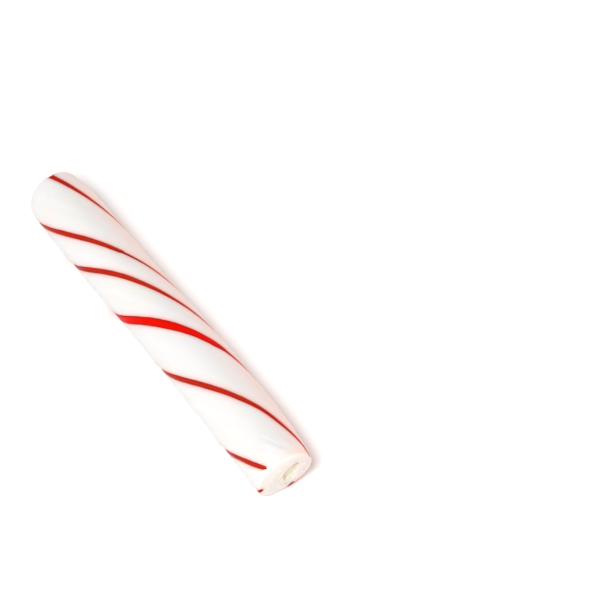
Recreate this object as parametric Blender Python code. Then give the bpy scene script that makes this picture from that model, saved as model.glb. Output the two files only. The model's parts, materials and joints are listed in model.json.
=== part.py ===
"""Soft peppermint stick of pulled sugar, cut at both ends and lying on its side.

A white, aerated sugar body carries four red sugar stripes that sink into its skin: one wide
stripe and three narrow ones. All of them wind the same way, about a turn and a quarter over the
stick, and show again as red spots on the rims of the two cuts. Each cut was made warm, so its
face is a pair of sugar lips drawn together round a slit.

Frame: metres, +Z up. The stick lies along X with its leaning cut at +X, on a narrow flat in the
plane Z = 0, and the origin is under its middle. Angles round the stick run from +Y towards +Z.
"""

import math

import bmesh
import bpy
import numpy as np

MM = 0.001

# The stick.
LENGTH = 91.4 * MM         # from the far cut to the tip of the leaning cut
RADIUS = 6.15 * MM         # of the skin beside a stripe
BULGE = 0.10 * MM          # how far the white strand between two stripes stands out
REST_WIDTH = 3.0 * MM      # the flat that the stick lies on
AXIS_HEIGHT = math.sqrt(RADIUS ** 2 - (REST_WIDTH / 2) ** 2)

# The middle line's stray to the side and the skin's swelling, at evenly spaced stations.
STRAY = np.array([-0.45, -0.4, -0.2, 0.2, 0.25, 0.1, -0.5]) * MM
SWELL = np.array([-0.05, -0.05, -0.05, 0.05, 0.2, 0.2, -0.2]) * MM

# The stripes, each with its angle in degrees and its width in millimetres at the same stations.
STRIPES = {
    "stripe_thin_c": {
        "angles": (292, 215, 127, 62, -9, -92, -165),
        "widths": (0.9, 1.0, 1.1, 0.85, 0.9, 0.9, 0.85),
    },
    "stripe_wide": {
        "angles": (380, 304, 227, 132, 53, -10, -75),
        "widths": (1.6, 1.7, 1.8, 1.95, 1.8, 1.7, 1.5),
    },
    "stripe_thin_a": {
        "angles": (465, 404, 327, 234, 155, 86, 20),
        "widths": (0.95, 0.8, 0.8, 0.9, 1.15, 1.1, 0.8),
    },
    "stripe_thin_b": {
        "angles": (578, 504, 433, 362, 280, 203, 125),
        "widths": (0.8, 1.0, 0.95, 0.75, 0.85, 0.95, 1.05),
    },
}
STRIPE_DEPTH = 0.62 * MM   # how deep the red sugar goes at the middle of a stripe
FLANK_DEPTH = 0.74         # the depth at the foot of a stripe's side, as a share of that
FLANK_REACH = 0.62         # the half width at that foot, as a share of the half width on top
SEAM = 0.12 * MM           # clear gap between the red sugar and its groove
FOOT_SEAM = 0.1 * MM       # the same at the foot of a stripe's side
FLOOR_GAP = 0.05 * MM      # the stripes under the stick stay this far off the table
DIVE_REACH = 3.0 * MM      # behind a cut, a stripe's underside dives as far as the rim rounds

# Where the soft sugar was pressed in beside a cut: the station, the angle and the depth.
PRESSES = (
    (45.7 * MM, math.radians(30), 0.5 * MM),
    (-45.7 * MM, math.radians(35), 0.8 * MM),
)
PRESS_REACH = 3.5 * MM
PRESS_SPREAD = math.radians(40)

# The two cut faces. A slit's centre and half sizes are (across Y, along Z) from the middle line.
# A row of the lips has the share of the way from the slit to the rim, then the height that the
# face has there on the -Y side of the slit and on its +Y side.
NEAR_CUT = {
    "lean": math.tan(math.radians(17.5)),    # the top stands out past the bottom
    "rounding": 0.6 * MM,
    "slit_centre": np.array([1.6, 0.9]) * MM,
    "slit_half": np.array([0.2, 2.5]) * MM,
    "slit_slant": 0.3,
    "lips": np.array([
        (0.0, -1.3, -1.3),
        (0.07, -0.3, -0.6),
        (0.14, 0.65, 0.0),
        (0.3, 0.75, 0.15),
        (0.44, 0.5, 0.15),
        (0.68, 0.05, 0.0),
        (1.0, 0.0, 0.0),
    ]),
}
FAR_CUT = {
    "lean": math.tan(math.radians(5.0)),
    "rounding": 0.35 * MM,
    "slit_centre": np.array([-0.6, 0.3]) * MM,
    "slit_half": np.array([0.15, 1.8]) * MM,
    "slit_slant": -0.25,
    "lips": np.array([
        (0.0, -1.0, -1.0),
        (0.07, -0.3, -0.3),
        (0.14, 0.1, 0.25),
        (0.3, 0.15, 0.3),
        (0.44, 0.1, 0.2),
        (0.68, 0.0, 0.0),
        (1.0, 0.0, 0.0),
    ]),
}
LEAN_REACH = 14.0 * MM     # the part of the stick, behind a cut, whose sections lean with it

# How finely the surfaces are divided.
SIDE_RINGS = 42
STRAND_COLUMNS = 8         # between two stripes
FACE_RINGS = (0.68, 0.56, 0.44, 0.32, 0.22, 0.14, 0.07, 0.03)
CREASE = math.radians(40)  # edges sharper than this are shaded as edges

RED = (0.80, 0.018, 0.012, 1.0)
DEEP_RED = (0.62, 0.024, 0.016, 1.0)
WHITE = (0.93, 0.91, 0.88, 1.0)


def clear_scene():
    for old in list(bpy.data.objects):
        bpy.data.objects.remove(old, do_unlink=True)


def make_material(name, colour, roughness):
    material = bpy.data.materials.new(name)
    material.use_nodes = True
    shader = material.node_tree.nodes["Principled BSDF"]
    shader.inputs["Base Color"].default_value = colour
    shader.inputs["Roughness"].default_value = roughness
    shader.inputs["Metallic"].default_value = 0.0
    material.diffuse_color = colour
    return material


def at_station(values, x):
    """Read a smooth curve through values at evenly spaced stations along the stick."""
    values = np.asarray(values, float)
    padded = np.concatenate([[2 * values[0] - values[1]], values, [2 * values[-1] - values[-2]]])
    place = np.clip(x / LENGTH + 0.5, 0.0, 1.0) * (len(values) - 1)
    left = min(int(place), len(values) - 2)
    t = place - left
    a, b, c, d = padded[left:left + 4]
    return b + 0.5 * t * (c - a + t * (2 * a - 5 * b + 4 * c - d + t * (3 * (b - c) + d - a)))


def lean_share(distance):
    """How far a section leans with the cut, from 1 at the cut to 0 well behind it."""
    t = min(max(1.0 - distance / LEAN_REACH, 0.0), 1.0)
    return t * t * (3.0 - 2.0 * t)


def pressed(x, angle):
    """How deep the soft sugar was pressed in at this place of the side."""
    depth = 0.0
    for press_x, press_angle, press_depth in PRESSES:
        turn = math.remainder(angle - press_angle, 2 * math.pi) / PRESS_SPREAD
        depth += press_depth * math.exp(-((x - press_x) / PRESS_REACH) ** 2 - turn ** 2)
    return depth


def section_point(x, angle, radius):
    """A point of the stick's side at station x, on a section that leans near the cuts."""
    radius = radius - pressed(x, angle)
    up = radius * math.sin(angle)
    lean = NEAR_CUT["lean"] * lean_share(LENGTH / 2 - AXIS_HEIGHT * NEAR_CUT["lean"] - x)
    lean -= FAR_CUT["lean"] * lean_share(x + LENGTH / 2 - AXIS_HEIGHT * FAR_CUT["lean"])
    return np.array([x + lean * up, at_station(STRAY, x) + radius * math.cos(angle), AXIS_HEIGHT + up])


def skin_radius(x, bulge):
    return RADIUS + at_station(SWELL, x) + bulge * BULGE


def rim_stations(end, cut):
    """Stations over the rounded rim at one end (+1 or -1), from the cut back, as (x, inset)."""
    cut_x = end * (LENGTH / 2 - AXIS_HEIGHT * cut["lean"])
    return [
        (cut_x - end * cut["rounding"] * (1 - math.sin(turn)), cut["rounding"] * (1 - math.cos(turn)))
        for turn in np.radians((90, 60, 30, 0))
    ]


def side_stations():
    """Stations from the near cut to the far one, as (x, inset of the skin)."""
    near_rim = rim_stations(1, NEAR_CUT)
    far_rim = rim_stations(-1, FAR_CUT)
    between = np.linspace(near_rim[-1][0], far_rim[-1][0], SIDE_RINGS)[1:-1]
    return near_rim + [(x, 0.0) for x in between] + far_rim[::-1]


def dive(x):
    """How much deeper the stripes run at station x, to stay whole under a rounded rim."""
    deeper = 0.0
    for end, cut in ((1, NEAR_CUT), (-1, FAR_CUT)):
        behind = LENGTH / 2 - AXIS_HEIGHT * cut["lean"] - end * x
        deeper += cut["rounding"] * max(1.0 - behind / DIVE_REACH, 0.0) ** 2
    return deeper


def stripe_place(stripe, x):
    """The angle and the half width of one stripe at station x."""
    angle = math.radians(at_station(stripe["angles"], x))
    return angle, at_station(stripe["widths"], x) * MM / 2


def groove_columns(stripe, x, inset):
    """Angle and depth of the five columns of points that shape one stripe's groove."""
    angle, half = stripe_place(stripe, x)
    lip = (half + SEAM) / RADIUS
    foot = (half * FLANK_REACH + FOOT_SEAM) / RADIUS
    foot_depth = STRIPE_DEPTH * FLANK_DEPTH + FOOT_SEAM + dive(x)
    return [
        (angle - lip, inset),
        (angle - foot, foot_depth),
        (angle, STRIPE_DEPTH + SEAM + dive(x)),
        (angle + foot, foot_depth),
        (angle + lip, inset),
    ]


def body_ring(x, inset):
    """One ring of the body: grooves for the stripes and bulging white strands between them."""
    stripes = list(STRIPES.values())
    grooves = [groove_columns(stripe, x, inset) for stripe in stripes]
    first = grooves[0][0][0]
    ring = []
    for index, groove in enumerate(grooves):
        for angle, depth in groove:
            ring.append(section_point(x, angle, skin_radius(x, 0.0) - depth))
        start = groove[-1][0]
        end = grooves[index + 1][0][0] if index + 1 < len(grooves) else first + 2 * math.pi
        for step in range(1, STRAND_COLUMNS + 1):
            share = step / (STRAND_COLUMNS + 1)
            bulge = math.sin(math.pi * share)
            angle = start + share * (end - start)
            ring.append(section_point(x, angle, skin_radius(x, bulge) - inset))
    return ring


def face_ring(rim, cut, end, share):
    """A ring of the cut face at one end (+1 or -1), on its way from the slit to the rim."""
    centre_y = at_station(STRAY, end * LENGTH / 2)
    shares, left_lip, right_lip = cut["lips"].T
    left_height = np.interp(share, shares, left_lip) * MM
    right_height = np.interp(share, shares, right_lip) * MM
    drawn = (1 - share) ** 2    # how far the ring is drawn over to the slit
    ring = []
    for point in rim:
        angle = math.atan2(point[2] - AXIS_HEIGHT, point[1] - centre_y)
        side, up = math.cos(angle), math.sin(angle)
        reach = share * (RADIUS - pressed(end * LENGTH / 2, angle))
        slit_z = cut["slit_centre"][1] + cut["slit_half"][1] * up
        slit_y = cut["slit_centre"][0] + cut["slit_half"][0] * side + cut["slit_slant"] * slit_z
        y = reach * side + drawn * slit_y
        z = reach * up + drawn * slit_z
        height = (left_height * (1 - side) + right_height * (1 + side)) / 2
        x = end * (LENGTH / 2 - cut["lean"] * AXIS_HEIGHT + height) + cut["lean"] * end * z
        ring.append(np.array([x, centre_y + y, AXIS_HEIGHT + z]))
    return ring


def rest_on_table(rings, lowest):
    """Press every point that would sink into the table up to it."""
    for ring in rings:
        for point in ring:
            point[2] = max(point[2], lowest)
    return rings


def pull_sphere(name, rings, material, collection):
    """A smooth closed object: a UV sphere whose rings of points are pulled to their places."""
    columns = len(rings[0])
    poles = len(rings) + 1
    skin = bmesh.new()
    bmesh.ops.create_uvsphere(skin, u_segments=columns, v_segments=poles, radius=1.0)
    for vert in skin.verts:
        latitude = round(math.acos(max(-1.0, min(1.0, vert.co.z))) / math.pi * poles)
        longitude = round(math.atan2(-vert.co.x, vert.co.y) / (2 * math.pi) * columns) % columns
        if latitude == 0:
            vert.co = np.mean(rings[0], axis=0)
        elif latitude == poles:
            vert.co = np.mean(rings[-1], axis=0)
        else:
            vert.co = rings[latitude - 1][longitude]
    bmesh.ops.triangulate(skin, faces=skin.faces, quad_method="SHORT_EDGE")
    mesh = bpy.data.meshes.new(name)
    skin.to_mesh(mesh)
    skin.free()
    mesh.shade_smooth()
    mesh.set_sharp_from_angle(angle=CREASE)
    mesh.materials.append(material)
    piece = bpy.data.objects.new(name, mesh)
    collection.objects.link(piece)
    return piece


def make_body(collection):
    side = [body_ring(x, inset) for x, inset in side_stations()]
    near_face = [face_ring(side[0], NEAR_CUT, 1, share) for share in FACE_RINGS]
    far_face = [face_ring(side[-1], FAR_CUT, -1, share) for share in FACE_RINGS]
    rings = list(reversed(near_face)) + side + far_face
    material = make_material("pulled white sugar", WHITE, 0.42)
    return pull_sphere("candy_body", rest_on_table(rings, 0.0), material, collection)


def make_stripe(name, stripe, colour, collection):
    """One red stripe: a shallow keel of red sugar, flush with the skin and with both cuts."""
    rings = []
    for x, inset in side_stations():
        angle, half = stripe_place(stripe, x)
        foot_depth = STRIPE_DEPTH * FLANK_DEPTH + dive(x)
        section = (
            (-1.0, inset),
            (0.0, inset),
            (1.0, inset),
            (FLANK_REACH, foot_depth),
            (0.0, STRIPE_DEPTH + dive(x)),
            (-FLANK_REACH, foot_depth),
        )
        rings.append([
            section_point(x, angle + across * half / RADIUS, skin_radius(x, 0.0) - depth)
            for across, depth in section
        ])
    material = make_material(name.replace("_", " "), colour, 0.38)
    return pull_sphere(name, rest_on_table(rings, FLOOR_GAP), material, collection)


def main():
    clear_scene()
    collection = bpy.data.collections.new("peppermint stick")
    bpy.context.scene.collection.children.link(collection)
    make_body(collection)
    for name, stripe in STRIPES.items():
        make_stripe(name, stripe, RED if name == "stripe_wide" else DEEP_RED, collection)


main()
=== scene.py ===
import json
import math

import bpy
import numpy as np
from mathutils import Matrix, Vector, noise

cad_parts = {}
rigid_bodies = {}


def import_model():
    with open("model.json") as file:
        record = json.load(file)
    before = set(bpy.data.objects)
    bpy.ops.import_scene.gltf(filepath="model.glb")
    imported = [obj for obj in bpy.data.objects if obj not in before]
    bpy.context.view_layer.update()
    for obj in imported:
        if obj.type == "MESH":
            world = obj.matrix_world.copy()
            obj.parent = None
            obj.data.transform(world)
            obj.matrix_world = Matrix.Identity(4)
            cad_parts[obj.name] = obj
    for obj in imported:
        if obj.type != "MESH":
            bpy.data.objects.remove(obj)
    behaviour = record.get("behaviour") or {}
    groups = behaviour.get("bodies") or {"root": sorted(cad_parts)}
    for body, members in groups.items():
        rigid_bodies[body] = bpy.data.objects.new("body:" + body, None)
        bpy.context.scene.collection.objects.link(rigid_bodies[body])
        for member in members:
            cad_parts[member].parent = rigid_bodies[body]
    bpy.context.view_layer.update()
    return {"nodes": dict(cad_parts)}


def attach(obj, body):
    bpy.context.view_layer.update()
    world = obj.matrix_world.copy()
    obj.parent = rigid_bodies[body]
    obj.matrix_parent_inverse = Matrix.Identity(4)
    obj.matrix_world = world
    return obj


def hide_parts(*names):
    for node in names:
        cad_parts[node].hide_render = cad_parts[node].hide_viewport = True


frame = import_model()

print("frame loaded:", sorted(frame["nodes"]))

mm = 0.001  # every size below is in millimetres

# the stick's own form, nearly as the solids have it, plus the fine relief that pulling leaves in sugar
stick = {
    "length": 91.4,
    "radius": 6.15,
    "restWidth": 3.0,       # the flat along the underside
    "bulge": 0.10,          # a white strand stands out between two stripes
    "valley": 0.06,         # and sinks beside them, so that each stripe lies in a soft valley
    "valleyWidth": 0.7,
    # sideways drift and change of radius at seven even stations
    "stray": (-0.45, -0.4, -0.2, 0.2, 0.25, 0.1, -0.5),
    "swell": (-0.05, -0.05, -0.05, 0.05, 0.2, 0.2, -0.2),
    # station, degrees and depth; the last one stands out, where the cut squeezed the sugar aside
    "presses": ((45.7, 30, 0.5), (-45.7, 35, 0.8), (45.7, -150, -0.4)),
    "pressReach": 3.5,
    "pressSpread": 40,      # degrees round the stick
    "softSpread": 55,       # degrees over which a softer place of a rim fades
    "leanReach": 14.0,      # a cut's lean fades over this distance behind it
    # a crease in the skin: station and degrees at both ends, depth, width
    "creases": ((37.0, 112, 42.0, 85, 0.08, 0.4), (38.4, 90, 42.6, 67, -0.07, 0.5)),
    "creaseFade": 1.2,
    "threadRelief": 0.022,  # fine ridges along the pull
    "threadWidth": 0.55,
    "threadLength": 11.0,
    "ropeRelief": 0.04,     # broader folds along the pull
    "ropeWidth": 1.9,
    "ropeLength": 16.0,
    "lumpRelief": 0.07,     # finger-soft unevenness
    "lumpSize": 7.0,
    "reliefFade": 0.5,      # beside a stripe the relief fades over this width
    "patternStep": 20.0,    # each strand starts this far on in the pull's pattern
    "sideRings": 330,
    "rimRings": 9,
    "strandColumns": 48,
}
axisHeight = math.sqrt(stick["radius"] ** 2 - (stick["restWidth"] / 2) ** 2)

# slits are placed by (across, up) from the middle line
nearCut = {
    "end": 1,
    "lean": math.tan(math.radians(17.5)),
    "rounding": 0.5,
    "slitCentre": (1.05, 1.0),
    "slitHalf": (1.1, 2.2),
    "slitSlant": 0.3,
    "soft": ((135, 0.9, 4.0), (-40, 0.3, 1.2)),     # where the rim is rounder: degrees, depth, reach
    "pushed": (-128, 50, 0.5),      # where the sugar is squeezed outwards: degrees, spread, how far
    # share of the way out from the slit, then the face's height left and right of it
    "lips": ((0.0, -0.35, -0.35), (0.07, -0.25, -0.3), (0.14, 0.35, -0.25), (0.21, 0.6, -0.1),
             (0.31, 0.5, 0.0), (0.46, 0.5, 0.15), (0.68, 0.3, 0.15), (1.0, 0.0, 0.0)),
    "ragged": 0.10,         # how far the lips' edges wander, as a share of the way out
    "poreRelief": 0.05,
    "torn": 2.6,            # the right lip was torn, which makes it this much rougher
    "tintReach": (0.6, 0.2),    # share of the way in over which the cut's tint comes, left and right
    "pit": (0.12, 0.32),    # shares of the way out at which the slit's cream starts to fade and is gone; in the slit the cream is partly painted shade
    "tintBehind": 3.4,      # how far behind the rim the cut's tint begins; over the rounded rim it is partly painted shade
    "rimTint": 0.68,        # and its share at the rim
}
farCut = {
    "end": -1,
    "lean": math.tan(math.radians(5.0)),
    "rounding": 0.35,
    "slitCentre": (-0.6, 0.3),
    "slitHalf": (0.15, 1.8),
    "slitSlant": -0.25,
    "soft": ((200, 0.3, 1.5),),
    "pushed": (205, 45, 0.3),
    "lips": ((0.0, -0.8, -0.8), (0.07, -0.3, -0.3), (0.14, 0.1, 0.2), (0.3, 0.15, 0.22),
             (0.44, 0.1, 0.15), (0.68, 0.0, 0.0), (1.0, 0.0, 0.0)),
    "ragged": 0.06,
    "poreRelief": 0.04,
    "torn": 1.5,
    "tintReach": (0.3, 0.3),
    "pit": (0.05, 0.13),
    "tintBehind": 0.3,
    "rimTint": 0.5,
}
# what both cut faces share
cutFaces = {
    "rings": 34,
    "flatRings": 5,         # between the rim and the rings with relief
    "flatShares": (0.95, 0.7),  # shares of the way out at which they lie
    "reliefShare": 0.68,    # share of the way out at which the rings with relief begin
    "innermost": 0.012,     # and at which the last one lies
    "crowding": 1.35,       # above 1, the rings stand closer near the slit
    "lipBlur": 3,           # hundredths of the way out, either side
    "raggedSize": (0.6, 0.9),   # over the slit's slant and along it
    "tearSize": (0.6, 2.2),
    "tearShare": 0.8,       # against the pores
    "poreSize": 0.45,
    "mottleSize": 1.5,
    "mottleShare": 2,
    "patternReach": 3.0,    # how far the pull's lines run on over a rim
}

# angles in degrees and widths at seven even stations along the stick
stripes = {
    "stripe_thin_c": {
        "angles": (292, 215, 127, 62, -9, -92, -167),
        "widths": (0.9, 1.0, 1.1, 0.85, 0.9, 0.9, 1.05),
        "slot": "red_sugar_thin",
    },
    "stripe_wide": {
        "angles": (380, 304, 227, 132, 53, -10, -75),
        "widths": (1.6, 1.7, 1.8, 1.95, 1.8, 1.7, 1.7),
        "sunk": 0.03,
        "step": (14.0, 0.45, 1.4),      # it narrows here: station, share and over how far
        "slot": "red_sugar_wide",
    },
    "stripe_thin_a": {
        "angles": (465, 404, 327, 234, 155, 86, 20),
        "widths": (1.1, 0.8, 0.75, 0.85, 1.05, 1.0, 0.9),
        "stop": 0.3,
        "slot": "red_sugar_thin",
    },
    "stripe_thin_b": {
        "angles": (578, 504, 433, 362, 280, 203, 125),
        "widths": (0.8, 1.0, 0.95, 0.75, 0.85, 0.95, 1.05),
        "slot": "red_sugar_thin",
        "stop": 1.1,    # white sugar was smeared over its last bit at the near cut
        "step": (-18.8, 0.42, 0.3),
    },
}
inlay = {
    "depth": 0.62,
    "flankDepth": 0.74,     # the flank's foot, as a share of the depth
    "flankReach": 0.62,     # and of the half width
    "seam": 0.012,          # hair gap between the red sugar and its groove
    "crease": 0.08,         # a groove's edge dips by this, and a stripe's by half of it
    "creaseWidth": 0.13,
    "sunk": 0.15,           # how much lower than the white a stripe lies that sets no value of its own
    "wallShown": 0.2,       # a stripe sunk this deep shows its groove's wall up to the lip
    "endDepth": 0.46,       # how deep the red goes in the cut face
    "bleed": 0.38,          # how far red crept into the white
    "beads": 0.07,          # share by which a stripe swells and thins
    "beadLength": 2.4,
    "smallBeadLength": 1.1,
    "meander": 0.05,
    "meanderLength": 4.0,
    "tipLength": 0.5,       # a stripe that stops is rounded off over this length
    "closing": (-0.05, 0.15),   # distances past a stripe's stop over which the white closes
    "shearedRim": (0.1, 0.3),   # insets of a rounded rim over which a stripe's sheared end comes
    "clearance": 0.01,      # between a stripe and the floor
    "narrowReach": 14.0,    # a stripe that narrows has its full width back after about twice this
    "crownColumns": 11,
}


def atStation(values, x):
    # smooth curve through values at even stations
    values = np.asarray(values, float)
    padded = np.concatenate([[2 * values[0] - values[1]], values, [2 * values[-1] - values[-2]]])
    place = np.clip(np.asarray(x, float) / stick["length"] + 0.5, 0, 1) * (len(values) - 1)
    left = np.minimum(place.astype(int), len(values) - 2)
    t = place - left
    a, b, c, d = (padded[left + k] for k in range(4))
    return b + 0.5 * t * (c - a + t * (2 * a - 5 * b + 4 * c - d + t * (3 * (b - c) + d - a)))


def softNoise(*axes):
    # Perlin noise over arrays of coordinates
    axes = np.broadcast_arrays(*axes)
    flat = np.stack([a.ravel() for a in axes], 1)
    return np.array([noise.noise(Vector(p)) for p in flat]).reshape(axes[0].shape)


def smoothStep(low, high, value):
    t = np.clip((value - low) / (high - low), 0, 1)
    return t * t * (3 - 2 * t)


def turnFrom(angle, degrees):
    # how far round the stick from a place, -pi to pi
    return (angle - math.radians(degrees) + math.pi) % (2 * math.pi) - math.pi


def pressed(x, angle):
    # how far the skin lies in from round: finger presses near the ends, and the softer side of each rim
    depth = 0
    for pressX, pressAngle, pressDepth in stick["presses"]:
        turn = turnFrom(angle, pressAngle) / math.radians(stick["pressSpread"])
        depth = depth + pressDepth * np.exp(-((x - pressX) / stick["pressReach"]) ** 2 - turn ** 2)
    for cut in (nearCut, farCut):
        behind = np.maximum(cutStation(cut) - cut["end"] * x, 0)
        for degrees, softDepth, reach in cut["soft"]:
            turn = turnFrom(angle, degrees) / math.radians(stick["softSpread"])
            depth = depth + softDepth * np.maximum(1 - behind / reach, 0) ** 2 * np.exp(-turn ** 2)
    return depth


def creased(x, angle):
    # fine creases that run askew over the skin
    depth = 0
    for x0, degrees0, x1, degrees1, creaseDepth, width in stick["creases"]:
        run = np.array([x1 - x0, math.radians(degrees1 - degrees0) * stick["radius"]])
        length = np.hypot(*run)
        along, over = run / length
        dx, dy = x - x0, turnFrom(angle, degrees0) * stick["radius"]
        forward, aside = dx * along + dy * over, dy * along - dx * over
        fade = smoothStep(0, stick["creaseFade"], forward)
        fade = fade * smoothStep(0, stick["creaseFade"], length - forward)
        # a low ridge runs along each crease
        ridge = np.exp(-((aside - 2 * width) / width) ** 2) / 3
        depth = depth + creaseDepth * fade * (np.exp(-(aside / width) ** 2) - ridge)
    return depth


def cutStation(cut):
    return stick["length"] / 2 - axisHeight * cut["lean"]


def leanShare(distance):
    return smoothStep(0, 1, 1 - distance / stick["leanReach"])


def pushedOut(cut, angle):
    degrees, spread, reach = cut["pushed"]
    return cut["end"] * reach * np.exp(-(turnFrom(angle, degrees) / math.radians(spread)) ** 2)


def sectionPoints(x, angle, radius):
    # places on the side: x, angle and radius are arrays of one shape
    radius = radius - pressed(x, angle)
    shift = 0
    up = radius * np.sin(angle)
    across = atStation(stick["stray"], x) + radius * np.cos(angle)
    for cut in (nearCut, farCut):
        share = leanShare(cutStation(cut) - cut["end"] * x)
        shift = shift + share * (cut["end"] * cut["lean"] * up + share ** 3 * pushedOut(cut, angle))
    return np.stack([x + shift, across, axisHeight + up], -1)


def skinRadius(x):
    return stick["radius"] + atStation(stick["swell"], x)


def rimStations(cut):
    # stations and insets over a rounded rim, from the cut back
    turns = np.radians(np.linspace(90, 0, stick["rimRings"]))
    back = cut["rounding"] * (1 - np.sin(turns))
    inset = cut["rounding"] * (1 - np.cos(turns))
    return cut["end"] * (cutStation(cut) - back), inset


def sideStations():
    nearX, nearInset = rimStations(nearCut)
    farX, farInset = rimStations(farCut)
    between = np.linspace(nearX[-1], farX[-1], stick["sideRings"])[1:-1]
    x = np.concatenate([nearX, between, farX[::-1]])
    inset = np.concatenate([nearInset, np.zeros(len(between)), farInset[::-1]])
    return x, inset


def stripeDepth(x, inset):
    # from the round skin to a stripe's underside, which rises with the rim but stays below it
    rim = np.where(x > 0, nearCut["rounding"], farCut["rounding"])
    return inset + inlay["depth"] + (inlay["endDepth"] - inlay["depth"]) * inset / rim


def stopStation(name):
    # a stripe that sets no stop runs on past the cut
    return cutStation(nearCut) - stripes[name].get("stop", -5.0)


def sunkBy(name):
    return stripes[name].get("sunk", inlay["sunk"])


def narrowed(name, x, lead):
    # share of its width that a stripe has lost; lead says how many runs before the step that begins
    stepAt, share, run = stripes[name].get("step", (0, 0, 1))
    fade = np.exp(-((x - stepAt) / inlay["narrowReach"]) ** 2)
    return share * smoothStep(-lead * run, run, x - stepAt) * fade


def stripePlace(name, x):
    # angle and half width, with the beads and the slight meander of drawn sugar
    stripe = stripes[name]
    # a stretch of the noise for each stripe
    seed = 11.0 * sorted(stripes).index(name)
    beads = softNoise(x / inlay["beadLength"], seed, 0.5)
    beads = beads + 0.5 * softNoise(x / inlay["smallBeadLength"], seed, 4.5)
    half = atStation(stripe["widths"], x) / 2 * (1 + inlay["beads"] * beads)
    half = half * (1 - narrowed(name, x, 1))
    tip = np.clip((stopStation(name) - x) / inlay["tipLength"], 0.02, 1)
    half = half * np.sqrt(1 - (1 - tip) ** 2)
    meander = inlay["meander"] * softNoise(x / inlay["meanderLength"], seed, 8.5) / stick["radius"]
    return np.radians(atStation(stripe["angles"], x)) + meander, half


def closedMesh(name, rings, fields, mapping):
    # rings (rings, columns, xyz) to a closed smooth mesh, with a fan at each end
    ringCount, columnCount = rings.shape[:2]
    points = np.concatenate([rings.reshape(-1, 3), rings[:1].mean(1), rings[-1:].mean(1)])
    index = np.arange(ringCount * columnCount).reshape(ringCount, columnCount)
    beside = np.roll(index, -1, 1)
    quads = np.stack([index[:-1], index[1:], beside[1:], beside[:-1]], -1).reshape(-1, 4)
    first, last = len(points) - 2, len(points) - 1
    faces = quads.tolist()
    faces += [(first, a, b) for a, b in zip(index[0], beside[0])]
    faces += [(last, b, a) for a, b in zip(index[-1], beside[-1])]
    mesh = bpy.data.meshes.new(name)
    mesh.from_pydata((points * mm).tolist(), [], faces)
    for field, values in fields.items():
        values = np.concatenate([values.ravel(), values[0, :1], values[-1, :1]])
        mesh.attributes.new(field, "FLOAT", "POINT").data.foreach_set("value", values)
    flatMap = np.concatenate([mapping.reshape(-1, 2), mapping[0, :1], mapping[-1, :1]])
    corners = np.zeros(len(mesh.loops), np.int32)
    mesh.loops.foreach_get("vertex_index", corners)
    layer = mesh.uv_layers.new(name="pull")
    layer.data.foreach_set("uv", flatMap[corners].ravel())
    mesh.shade_smooth()
    mesh.update()
    piece = bpy.data.objects.new(name, mesh)
    bpy.context.scene.collection.objects.link(piece)
    return piece


def grooveColumns(name, x, inset):
    # offsets from the stripe's middle (mm round the skin) and depths, seven columns
    angle, half = stripePlace(name, x)
    gap = inlay["seam"]
    foot = half * inlay["flankReach"] + gap
    bottomDepth = stripeDepth(x, inset) + gap
    footDepth = inset + inlay["flankDepth"] * (bottomDepth - inset)
    lip = half + gap
    shoulder = lip + inlay["creaseWidth"]
    offsets = [-shoulder, -lip, -foot, 0 * half, foot, lip, shoulder]
    lipDepth = inset + inlay["crease"]
    depths = [inset, lipDepth, footDepth, bottomDepth, footDepth, lipDepth, inset]
    offsets = np.stack(offsets, 1)
    # beyond a stripe's stop the white sugar has closed over it
    opened = 1 - smoothStep(*inlay["closing"], x - stopStation(name))[:, None]
    depths = stick["valley"] + np.stack([d + 0 * x for d in depths], 1)
    depths = depths * opened + inset[:, None] * (1 - opened)
    return angle[:, None] + offsets / stick["radius"], depths, opened


def strandRelief(x, across, width, strand, opened):
    # how far the white strand stands out, with the ridges that the pull leaves
    side = np.minimum(across, width - across)
    share = across / width
    form = stick["bulge"] * np.sin(np.pi * share)
    form = form - stick["valley"] * opened * (1 - smoothStep(0, stick["valleyWidth"], side))
    seed = 17.0 * strand
    threads = softNoise(across / stick["threadWidth"], x / stick["threadLength"], seed)
    ropes = softNoise(across / stick["ropeWidth"], x / stick["ropeLength"], seed + 5)
    lumps = softNoise(across / stick["lumpSize"], x / stick["lumpSize"], seed + 9)
    relief = stick["threadRelief"] * (threads - 1) / 2
    relief = relief + stick["ropeRelief"] * (ropes - 1) / 2
    relief = relief + stick["lumpRelief"] * (lumps - 1) / 2
    return form + relief * smoothStep(0, stick["reliefFade"], side)


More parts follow.
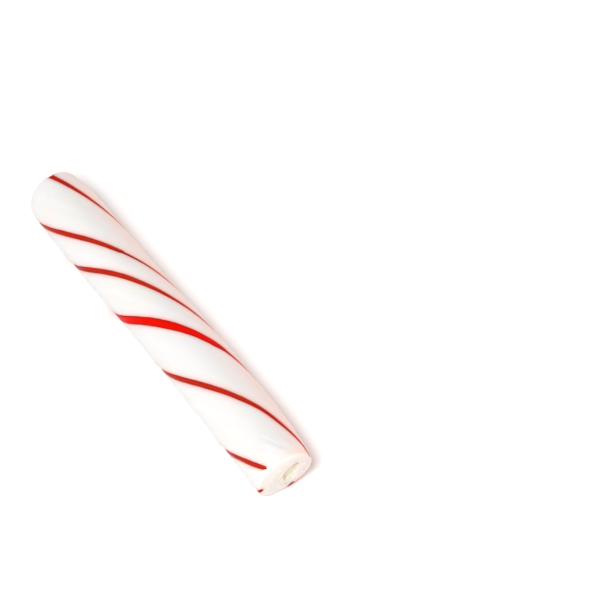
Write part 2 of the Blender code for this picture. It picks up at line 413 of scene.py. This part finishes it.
def faceRings(rim, cut):
    # rings of a cut face from just inside the rim to the slit, with how far in they lie and the pit
    look, end = cutFaces, cut["end"]
    centre = atStation(stick["stray"], end * stick["length"] / 2)
    angle = np.arctan2(rim[:, 2] - axisHeight, rim[:, 1] - centre)
    side, up = np.cos(angle), np.sin(angle)
    fine = np.linspace(0, 1, 101)
    places, *heights = np.array(cut["lips"]).T
    heights = (np.pad(np.interp(fine, places, height), look["lipBlur"], "edge") for height in heights)
    # a short moving mean rounds their corners off
    mean = np.ones(2 * look["lipBlur"] + 1) / (2 * look["lipBlur"] + 1)
    leftLip, rightLip = (np.convolve(height, mean, "valid") for height in heights)
    inwards = np.linspace(0, 1, look["rings"])
    share = (look["reliefShare"] * (1 - inwards) ** look["crowding"] + look["innermost"])[:, None]
    drawn = (1 - share) ** 2
    reach = share * (stick["radius"] - pressed(end * stick["length"] / 2, angle))
    slitUp = cut["slitCentre"][1] + cut["slitHalf"][1] * up
    slitAcross = cut["slitCentre"][0] + cut["slitHalf"][0] * side + cut["slitSlant"] * slitUp
    y = reach * side + drawn * slitAcross
    z = reach * up + drawn * slitUp
    # over the slit's slant and along it, so that the torn sugar's ridges run with the slit
    over, along = y - cut["slitSlant"] * z, z
    rags = softNoise(over / look["raggedSize"][0], along / look["raggedSize"][1], 5.0 + end)
    lipShare = share + cut["ragged"] * (1 - share) * rags
    right = (1 + side) / 2
    height = np.interp(lipShare, fine, leftLip) * (1 - right) + np.interp(lipShare, fine, rightLip) * right
    pores = softNoise(y / look["poreSize"], z / look["poreSize"], 3.0 + end)
    tears = softNoise(over / look["tearSize"][0], along / look["tearSize"][1], 7.0 + end)
    mottle = softNoise(y / look["mottleSize"], z / look["mottleSize"], 9.0 + end)
    pores = pores + look["tearShare"] * tears + look["mottleShare"] * mottle
    height = height + cut["poreRelief"] * (1 + (cut["torn"] - 1) * right) * pores
    x = end * (stick["length"] / 2 - cut["lean"] * axisHeight + height) + cut["lean"] * end * z
    x = x + share ** 2 * pushedOut(cut, angle)
    rings = np.stack([x, centre + y, axisHeight + z], -1)
    # the flat between the rim and the first of these rings
    flatCount = look["flatRings"]
    blend = np.linspace(0, 1, flatCount + 2)[1:-1, None, None]
    rings = np.concatenate([rim[None] * (1 - blend) + rings[:1] * blend, rings])
    share = np.concatenate([np.linspace(*look["flatShares"], flatCount)[:, None], share])
    lipShare = np.concatenate([np.ones((flatCount, len(angle))), lipShare])
    tintReach = cut["tintReach"][0] * (1 - right) + cut["tintReach"][1] * right
    return rings, smoothStep(0, 1, (1 - share) / tintReach), 1 - smoothStep(*cut["pit"], lipShare)


def buildBody():
    x, inset = sideStations()
    names = list(stripes)
    groove = [grooveColumns(name, x, inset) for name in names]
    angles, radii, across, bleed, wall = [], [], [], [], []
    skin = skinRadius(x)[:, None]
    share = np.arange(1, stick["strandColumns"] + 1) / (stick["strandColumns"] + 1)
    for k, (angle, depth, opened) in enumerate(groove):
        # the strand after this stripe runs to the next one, the last back to the first
        start = angle[:, -1]
        nextAngle, _, nextOpened = groove[(k + 1) % len(groove)]
        following = nextAngle[:, 0] + (2 * math.pi if k + 1 == len(groove) else 0)
        width = (following - start)[:, None] * stick["radius"]
        place = share[None] * width
        strandAngle = start[:, None] + place / stick["radius"]
        openBeside = np.where(place < width / 2, opened, nextOpened)
        relief = strandRelief(x[:, None], place, width, k, openBeside) - creased(x[:, None], strandAngle)
        angles += [angle, strandAngle]
        radii += [skin - depth, skin + relief - inset[:, None]]
        patternStart = stick["patternStep"] * k
        across += [np.zeros_like(angle) + patternStart, place + patternStart]
        beside = np.minimum(place, width - place)
        bleed += [opened + 0 * angle, openBeside * np.exp(-beside / inlay["bleed"])]
        # a groove's lip is as red as its wall where the stripe lies low enough to show the wall; the
        # wall's dark red is partly painted shade of the groove
        lipRed = min(1, sunkBy(names[k]) / inlay["wallShown"])
        wall += [opened * np.array([[0, lipRed, 1, 1, 1, lipRed, 0]]), 0 * place]
    angles, radii, across, bleed, wall = (
        np.concatenate(columns, 1) for columns in (angles, radii, across, bleed, wall)
    )
    xs = np.broadcast_to(x[:, None], angles.shape)
    side = sectionPoints(xs, angles, radii)
    near, nearInward, nearPit = faceRings(side[0], nearCut)
    far, farInward, farPit = faceRings(side[-1], farCut)
    rings = np.concatenate([near[::-1], side, far])
    rings[:, :, 2] = np.maximum(rings[:, :, 2], 0.0)
    nearInward, nearPit = nearInward[::-1], nearPit[::-1]
    # the cuts' tint begins on the side, where over the rounded rim it is partly painted shade
    nearRim, farRim = nearCut["rimTint"], farCut["rimTint"]
    sideTint = nearRim * smoothStep(0, 1, 1 - (x[0] - x) / nearCut["tintBehind"])
    sideTint = sideTint + farRim * smoothStep(0, 1, 1 - (x - x[-1]) / farCut["tintBehind"])

    def field(nearValue, sideValue, farValue):
        return np.concatenate([nearValue, np.broadcast_to(sideValue, xs.shape), farValue])

    fields = {
        "cutFace": field(nearRim + (1 - nearRim) * nearInward, sideTint[:, None],
                         farRim + (1 - farRim) * farInward),
        "pit": field(nearPit, 0.0, farPit),
        "bleed": field(bleed[:1] * (1 - smoothStep(0, 0.5, nearInward)), bleed,
                       bleed[-1:] * (1 - smoothStep(0, 0.5, farInward))),
        "wall": field(0 * nearInward, wall, 0 * farInward),
    }
    reach = cutFaces["patternReach"]
    along = field(x[0] + reach * nearInward, x[:, None], x[-1] - reach * farInward)
    acrossAll = field(across[:1] + 0 * nearInward, across, across[-1:] + 0 * farInward)
    mapping = np.stack([acrossAll, along], -1)
    return closedMesh("pulled_sugar_body", rings, fields, mapping)


def buildStripe(name):
    x, inset = sideStations()
    shown = x < stopStation(name)
    x, inset = x[shown], inset[shown]
    angle, half = stripePlace(name, x)
    top = np.linspace(-1, 1, inlay["crownColumns"])
    dip = inlay["crease"] / 2 * np.abs(top) ** 5
    foot, flank = inlay["flankReach"], inlay["flankDepth"] * inlay["depth"]
    across = np.concatenate([top, [foot, 0, -foot]])
    sink = np.concatenate([sunkBy(name) + dip, [flank, inlay["depth"], flank]])
    under = np.concatenate([np.zeros(len(top)), np.ones(3)])
    thickness = ((stripeDepth(x, inset) - inset) / inlay["depth"])[:, None]
    depth = inset[:, None] + sink[None] * (1 + under[None] * (thickness - 1))
    place = across[None] * half[:, None]
    angles = angle[:, None] + place / stick["radius"]
    radii = (skinRadius(x) - stick["valley"])[:, None] - depth
    rings = sectionPoints(np.broadcast_to(x[:, None], angles.shape), angles, radii)
    rings[:, :, 2] = np.maximum(rings[:, :, 2], inlay["clearance"])
    # where a stripe narrows, and a little before, its red is painted darker: painted shade, for the
    # stretch that runs onto the stick's shaded side
    narrowShade = 2 * narrowed(name, x, 4)
    fields = {
        "edge": np.maximum(np.abs(across)[None] ** 3, narrowShade[:, None]),
        "cutEnd": np.broadcast_to(smoothStep(*inlay["shearedRim"], inset)[:, None], angles.shape),
    }
    mapping = np.stack([place, np.broadcast_to(x[:, None], place.shape)], -1)
    return closedMesh("inlaid_" + name, rings, fields, mapping)


def linearColour(hexCode):
    # sRGB hex to the linear values that shaders take
    values = [int(hexCode[k:k + 2], 16) / 255 for k in (1, 3, 5)]
    return tuple(v / 12.92 if v <= 0.04045 else ((v + 0.055) / 1.055) ** 2.4 for v in values) + (1.0,)


def addNode(tree, kind, settings=None, links=None):
    # one node: settings by input (name or number) or attribute, links as input to output socket
    node = tree.nodes.new(kind)
    for key, value in (settings or {}).items():
        if isinstance(key, int) or key in node.inputs:
            node.inputs[key].default_value = value
        else:
            setattr(node, key, value)
    for key, socket in (links or {}).items():
        tree.links.new(socket, node.inputs[key])
    return node


def newMaterial(name):
    material = bpy.data.materials.new(name)
    material.use_nodes = True
    tree = material.node_tree
    return material, tree, tree.nodes["Principled BSDF"]


def mixColours(tree, factor, first, second):
    # second over first; each is a hex code or a socket (6, 7 and 2 are the Mix node's colour sockets)
    settings = {"data_type": "RGBA"}
    links = {0: factor}
    for socket, colour in ((6, first), (7, second)):
        if isinstance(colour, str):
            settings[socket] = linearColour(colour)
        else:
            links[socket] = colour
    return addNode(tree, "ShaderNodeMix", settings, links).outputs[2]


def times(tree, value, factor):
    # the factor is a number or another socket
    settings, links = {"operation": "MULTIPLY"}, {0: value}
    if isinstance(factor, float):
        settings[1] = factor
    else:
        links[1] = factor
    return addNode(tree, "ShaderNodeMath", settings, links).outputs[0]


def spread(tree, value, taken, given=(0.0, 1.0)):
    # noise keeps near its middle, so the part of it that is taken is drawn out to what is given
    settings = {"From Min": taken[0], "From Max": taken[1], "To Min": given[0], "To Max": given[1]}
    return addNode(tree, "ShaderNodeMapRange", settings, {"Value": value}).outputs[0]


def pullNoise(tree, width, length, detail, roughness=0.5):
    # noise drawn out along the pull, over the flat map in mm
    pull = addNode(tree, "ShaderNodeUVMap", {"uv_map": "pull"}).outputs[0]
    scale = (1 / width, 1 / length, 1)
    place = addNode(tree, "ShaderNodeMapping", {"Scale": scale}, {"Vector": pull}).outputs[0]
    settings = {"Scale": 1.0, "Detail": detail, "Roughness": roughness}
    return addNode(tree, "ShaderNodeTexNoise", settings, {"Vector": place}).outputs["Fac"]


def grainNoise(tree, size, detail, roughness=0.5):
    # noise that is alike in every direction
    place = addNode(tree, "ShaderNodeTexCoord").outputs["Object"]
    settings = {"Scale": 1 / (size * mm), "Detail": detail, "Roughness": roughness}
    return addNode(tree, "ShaderNodeTexNoise", settings, {"Vector": place}).outputs["Fac"]


def meshField(tree, name):
    return addNode(tree, "ShaderNodeAttribute", {"attribute_name": name}).outputs["Fac"]


def addBump(tree, shader, height, look):
    # relief too fine for the mesh
    settings = {"Strength": look["bump"], "Distance": look["bumpHeight"] * mm}
    bump = addNode(tree, "ShaderNodeBump", settings, {"Height": height})
    tree.links.new(bump.outputs[0], shader.inputs["Normal"])


whiteSugar = {
    "white": "#dcdada",
    "ivory": "#dad8d4",     # folds where less air was pulled in
    "peach": "#dfd5d0",     # cut faces, where the sugar was warmed and squeezed; its darkness is partly painted shade on the face and the rounded rim
    "cream": "#e0d6c1",     # deep in the slit, partly the sugar's yellowish core and partly painted shade, and in patches on the cut faces
    "blush": "#f08a7c",     # red that crept into the white beside a stripe
    "blushShare": 0.68,
    "shadedWallRed": "#8a1c14",    # the groove's walls, red like the stripe in them, and dark as painted shade of the groove
    "threadWidth": 0.16,    # mm; real threads are finer, and are drawn as coarse as they need to show
    "threadLength": 9.0,
    "foldWidth": 1.6,
    "foldLength": 24.0,
    "foldRange": (0.4, 0.7),
    "stainSize": 1.1,       # cream patches on the cut faces
    "stainRange": (0.5, 0.7),
    "stainShare": 0.4,
    "poreSize": 0.22,       # mm; real pores are finer, and are drawn coarse for the same reason
    "bump": 0.35,
    "bumpHeight": 0.02,
    "glossRange": (0.3, 0.7),   # over this part of the threads, the skin turns duller
    "roughness": (0.36, 0.5),
    "shine": 0.3,
    "glow": 0.5,            # share of light that travels under the skin
    "glowDepth": 1.5,       # mm
    "glowReach": (1.6, 0.8, 0.5),   # times that depth for red, green and blue; red travels furthest
}


def pulledSugar():
    # hand-pulled sugar full of fine air: opaque white, satin, with light soft under the skin
    look = whiteSugar
    material, tree, shader = newMaterial("pulled white sugar")
    threads = pullNoise(tree, look["threadWidth"], look["threadLength"], 4.0, 0.6)
    folds = pullNoise(tree, look["foldWidth"], look["foldLength"], 2.0)
    pores = grainNoise(tree, look["poreSize"], 3.0, 0.65)
    stains = grainNoise(tree, look["stainSize"], 2.0)
    cutFace, pit, bleed, wall = (meshField(tree, name) for name in ("cutFace", "pit", "bleed", "wall"))

    colour = mixColours(tree, spread(tree, folds, look["foldRange"]), look["white"], look["ivory"])
    # the cut's tint: partly painted shade on the face and over the rounded rim
    colour = mixColours(tree, cutFace, colour, look["peach"])
    stained = times(tree, spread(tree, stains, look["stainRange"], (0.0, look["stainShare"])), cutFace)
    colour = mixColours(tree, stained, colour, look["cream"])
    # in the slit the cream is partly painted shade
    colour = mixColours(tree, pit, colour, look["cream"])
    colour = mixColours(tree, times(tree, bleed, look["blushShare"]), colour, look["blush"])
    # painted shade: dark red on the groove's walls and lips
    colour = mixColours(tree, wall, colour, look["shadedWallRed"])
    tree.links.new(colour, shader.inputs["Base Color"])

    gloss = spread(tree, threads, look["glossRange"], look["roughness"])
    tree.links.new(gloss, shader.inputs["Roughness"])
    # lines along the pull on the skin, open pores on the cuts
    relief = addNode(tree, "ShaderNodeMix", {"data_type": "FLOAT"}, {0: cutFace, 2: threads, 3: pores})
    addBump(tree, shader, relief.outputs[0], look)
    shader.inputs["IOR"].default_value = 1.5
    shader.inputs["Specular IOR Level"].default_value = look["shine"]
    shader.inputs["Subsurface Weight"].default_value = look["glow"]
    shader.inputs["Subsurface Radius"].default_value = look["glowReach"]
    shader.inputs["Subsurface Scale"].default_value = look["glowDepth"] * mm
    return material


redSugar = {
    "wide": {"red": "#e20c00", "deep": "#c80a00"},
    "thin": {"red": "#ba2812", "deep": "#9c1c0e"},
    "rim": "#7c1a12",       # the edges and narrow places, painted darker: painted shade of the seam along the edges, and of the shaded stretch where a stripe narrows
    "rimShare": 0.7,
    "cutEnd": "#6a1c16",    # the sheared end over a rounded rim, darker
    "streakWidth": 0.25,    # mm
    "streakLength": 5.0,
    "streakRange": (0.35, 0.7),
    "bump": 0.3,
    "bumpHeight": 0.02,
    "roughness": 0.35,
    "shine": 0.03,          # kept low, so that the red stays deep under the broad light
}


def boiledRedSugar(kind):
    # clear boiled sugar dyed red and drawn out thin: deep colour, smooth, with hardly a highlight
    look = redSugar
    material, tree, shader = newMaterial("boiled red sugar, " + kind)
    streaks = pullNoise(tree, look["streakWidth"], look["streakLength"], 3.0)
    edge, cutEnd = meshField(tree, "edge"), meshField(tree, "cutEnd")
    reds = look[kind]
    colour = mixColours(tree, spread(tree, streaks, look["streakRange"]), reds["red"], reds["deep"])
    # painted shade: darker red along the edges and over the narrowing stretch
    colour = mixColours(tree, times(tree, edge, look["rimShare"]), colour, look["rim"])
    colour = mixColours(tree, cutEnd, colour, look["cutEnd"])
    tree.links.new(colour, shader.inputs["Base Color"])
    addBump(tree, shader, streaks, look)
    shader.inputs["Roughness"].default_value = look["roughness"]
    shader.inputs["IOR"].default_value = 1.5
    shader.inputs["Specular IOR Level"].default_value = look["shine"]
    return material


def dress(piece, material, node):
    piece.data.materials.append(material)
    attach(piece, "root")
    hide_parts(node)


body = buildBody()
dress(body, pulledSugar(), "candy_body")
print("white body:", len(body.data.polygons), "faces")

redLooks = {"wide": boiledRedSugar("wide"), "thin": boiledRedSugar("thin")}
for name, stripe in stripes.items():
    piece = buildStripe(name)
    dress(piece, redLooks["wide" if name == "stripe_wide" else "thin"], name)
    print(name + ":", len(piece.data.polygons), "faces")

studio = {
    "floor": "#f6f8f8",
    "floorSize": 4000,
    "floorRoughness": 0.9,
    "sky": "#ffffff",
    "skyStrength": 0.55,
    # place of each, aimed at the stick, size of the square lamp and power
    "lights": {
        "window": {"from": (600, -525, 852), "size": 300, "watts": 11.4, "colour": "#ffffff"},
        "card": {"from": (100, -560, 200), "size": 260, "watts": 0.32, "colour": "#ffffff"},
        # low down on the right, warm as light that red and white sugar would throw back
        "bounce": {"from": (20, 410, 38), "size": 28, "watts": 0.88, "colour": "#ff9c72"},
    },
}


def buildFloor():
    # matt white acrylic sheet, plain
    half = studio["floorSize"] / 2 * mm
    mesh = bpy.data.meshes.new("studio_floor")
    corners = [(-half, -half, 0), (half, -half, 0), (half, half, 0), (-half, half, 0)]
    mesh.from_pydata(corners, [], [(0, 1, 2, 3)])
    floor = bpy.data.objects.new("studio_floor", mesh)
    bpy.context.scene.collection.objects.link(floor)
    material, _, shader = newMaterial("matt white acrylic")
    shader.inputs["Base Color"].default_value = linearColour(studio["floor"])
    shader.inputs["Roughness"].default_value = studio["floorRoughness"]
    shader.inputs["Specular IOR Level"].default_value = 0.0
    mesh.materials.append(material)


def aimed(thing, place, target):
    thing.location = Vector(place) * mm
    thing.rotation_euler = (Vector(target) - Vector(place)).to_track_quat("-Z", "Y").to_euler()


def buildLights():
    world = bpy.data.worlds.new("studio")
    bpy.context.scene.world = world
    world.use_nodes = True
    sky = world.node_tree.nodes["Background"]
    sky.inputs["Color"].default_value = linearColour(studio["sky"])
    sky.inputs["Strength"].default_value = studio["skyStrength"]
    for name, setting in studio["lights"].items():
        lamp = bpy.data.lights.new(name, "AREA")
        lamp.size = setting["size"] * mm
        lamp.energy = setting["watts"]
        lamp.color = linearColour(setting["colour"])[:3]
        light = bpy.data.objects.new(name, lamp)
        bpy.context.scene.collection.objects.link(light)
        aimed(light, setting["from"], (0, 0, axisHeight))


view = {
    "target": (-1.14, 28.97, -0.184),   # what the middle of the picture looks at
    "distance": 900,
    "height": 43.0,                     # degrees above the table
    "turn": 30.32,                      # degrees from the stick's axis
    "lens": 278.8,                      # for this width of sensor and a square picture
    "sensor": 36,
}


def buildCamera():
    height, turn = math.radians(view["height"]), math.radians(view["turn"])
    level = math.cos(height)
    ahead = Vector((-math.cos(turn) * level, math.sin(turn) * level, -math.sin(height)))
    lens = bpy.data.cameras.new("camera")
    lens.lens = view["lens"]
    lens.sensor_width = view["sensor"]
    lens.clip_start = 0.01
    lens.clip_end = 20
    camera = bpy.data.objects.new("camera", lens)
    bpy.context.scene.collection.objects.link(camera)
    target = Vector(view["target"])
    aimed(camera, target - view["distance"] * ahead, target)
    bpy.context.scene.camera = camera


buildFloor()
buildLights()
buildCamera()
bpy.context.scene.view_settings.view_transform = "Standard"
print("studio ready")
